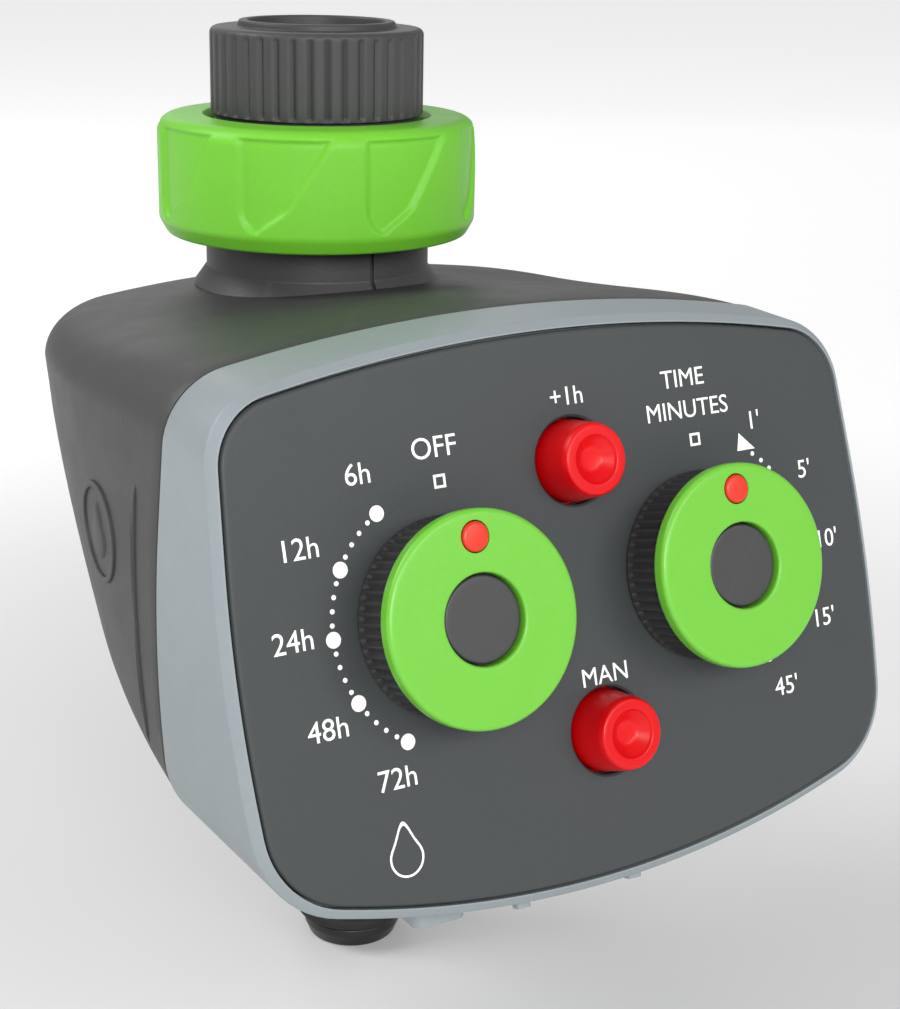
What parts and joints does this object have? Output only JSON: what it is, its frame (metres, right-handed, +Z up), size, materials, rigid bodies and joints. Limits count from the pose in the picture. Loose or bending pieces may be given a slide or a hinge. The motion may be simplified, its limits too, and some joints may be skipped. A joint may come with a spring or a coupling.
{
  "type": "drip irrigation timer",
  "caption": "Tap-mounted drip irrigation timer: wedge-shaped casing with twin dials and push buttons on a leaning panel, union nut inlet on top, ball valve inside and nipple outlet below.",
  "frame": {"origin": "centre of the tap adapter's top face, on the inlet axis", "axes": "+Z up along the inlet axis, towards the tap; -Y is the front, where the leaning dial panel faces; +X is to the right seen from the front"},
  "size_m": [0.1054, 0.1129, 0.151],
  "materials": {
    "dark_plastic": "fine matte moulded grain",
    "panel_plastic": "fine satin grain with white printing",
    "light_plastic": "satin",
    "green_plastic": "satin gloss",
    "red_plastic": "gloss",
    "black_rubber": "matte",
    "silicone": "matte translucent grey",
    "circuit_board": "green solder mask",
    "steel": "zinc plated",
    "brass": "machined",
    "natural_nylon": "off-white nylon",
    "battery_wrap": "printed film wrap"
  },
  "bodies": {
    "casing": {"rear_housing": "dark_plastic", "front_bezel": "light_plastic", "control_panel": "panel_plastic", "housing_gasket": "black_rubber", "housing_screw_left_upper": "steel", "housing_screw_right_upper": "steel", "housing_screw_left_lower": "steel", "housing_screw_right_lower": "steel", "silicone_membrane": "silicone", "circuit_board": "circuit_board", "frequency_potentiometer": "steel", "duration_potentiometer": "steel", "delay_switch": "steel", "manual_switch": "steel", "battery_sleeve": "dark_plastic", "inlet_washer": "black_rubber", "inlet_filter": "natural_nylon", "valve_body_upper": "dark_plastic", "valve_body_lower": "dark_plastic", "valve_screw_1": "steel", "valve_screw_2": "steel", "upper_seat": "natural_nylon", "lower_seat": "natural_nylon", "stem_o_ring": "black_rubber", "gearbox_plate": "steel", "gearbox_cover": "dark_plastic", "idler_pin": "steel", "drive_motor": "steel", "outlet_nipple": "dark_plastic", "outlet_o_ring": "black_rubber"},
    "frequency_dial": {"frequency_knob": "dark_plastic", "frequency_ring": "green_plastic", "frequency_pointer": "red_plastic", "frequency_shaft": "brass"},
    "duration_dial": {"duration_knob": "dark_plastic", "duration_ring": "green_plastic", "duration_pointer": "red_plastic", "duration_shaft": "brass"},
    "delay_push": {"delay_button": "red_plastic"},
    "manual_push": {"manual_button": "red_plastic"},
    "union_nut": {"inlet_nut": "green_plastic"},
    "adapter_washer": {"adapter_seal": "black_rubber"},
    "adapter": {"tap_adapter": "dark_plastic"},
    "drawer": {"battery_drawer": "light_plastic", "battery_1": "battery_wrap", "battery_2": "battery_wrap"},
    "valve": {"valve_ball": "brass", "valve_stem": "steel", "output_gear": "natural_nylon"},
    "idler": {"idler_gear": "natural_nylon"},
    "motor_rotor": {"motor_pinion": "brass"}
  },
  "joints": [
    {"name": "frequency_dial_turn", "type": "hinge", "parent": "casing", "child": "frequency_dial", "pos_m": [-0.021, -0.0745, -0.0688], "axis": [0, -0.9578, 0.2874], "range_deg": [0, 150]},
    {"name": "duration_dial_turn", "type": "hinge", "parent": "casing", "child": "duration_dial", "pos_m": [0.021, -0.0745, -0.0688], "axis": [0, -0.9578, 0.2874], "range_deg": [-150, 0]},
    {"name": "delay_button_press", "type": "slide", "parent": "casing", "child": "delay_push", "axis": [0, 0.9578, -0.2874], "range_m": [0, 0.0012], "stiffness_N_per_m": 1500},
    {"name": "manual_button_press", "type": "slide", "parent": "casing", "child": "manual_push", "axis": [0, 0.9578, -0.2874], "range_m": [0, 0.0012], "stiffness_N_per_m": 1500},
    {"name": "union_nut_spin", "type": "hinge", "parent": "casing", "child": "union_nut", "pos_m": [0, 0, -0.022], "axis": [0, 0, 1], "continuous": true},
    {"name": "adapter_lift", "type": "slide", "parent": "union_nut", "child": "adapter_washer", "axis": [0, 0, 1], "range_m": [0, 0.00924]},
    {"name": "adapter_unscrew", "type": "hinge", "parent": "adapter_washer", "child": "adapter", "pos_m": [0, 0, -0.01], "axis": [0, 0, 1], "range_deg": [0, 1440]},
    {"name": "battery_drawer_slide", "type": "slide", "parent": "casing", "child": "drawer", "axis": [0, -0.2874, -0.9578], "range_m": [0, 0.055]},
    {"name": "valve_turn", "type": "hinge", "parent": "casing", "child": "valve", "pos_m": [0, -0.009, -0.06815], "axis": [1, 0, 0], "range_deg": [0, 90]},
    {"name": "idler_turn", "type": "hinge", "parent": "casing", "child": "idler", "pos_m": [0.026, -0.02701, -0.05775], "axis": [1, 0, 0], "range_deg": [-300, 0]},
    {"name": "motor_turn", "type": "hinge", "parent": "casing", "child": "motor_rotor", "pos_m": [0.026, -0.04054, -0.06268], "axis": [1, 0, 0], "range_deg": [0, 900]}
  ],
  "couplings": [
    {"joint": "adapter_lift", "follows": "adapter_unscrew", "m_per_rad": 0.00036749},
    {"joint": "idler_turn", "follows": "valve_turn", "ratio": -3.3333},
    {"joint": "motor_turn", "follows": "valve_turn", "ratio": 10}
  ]
}
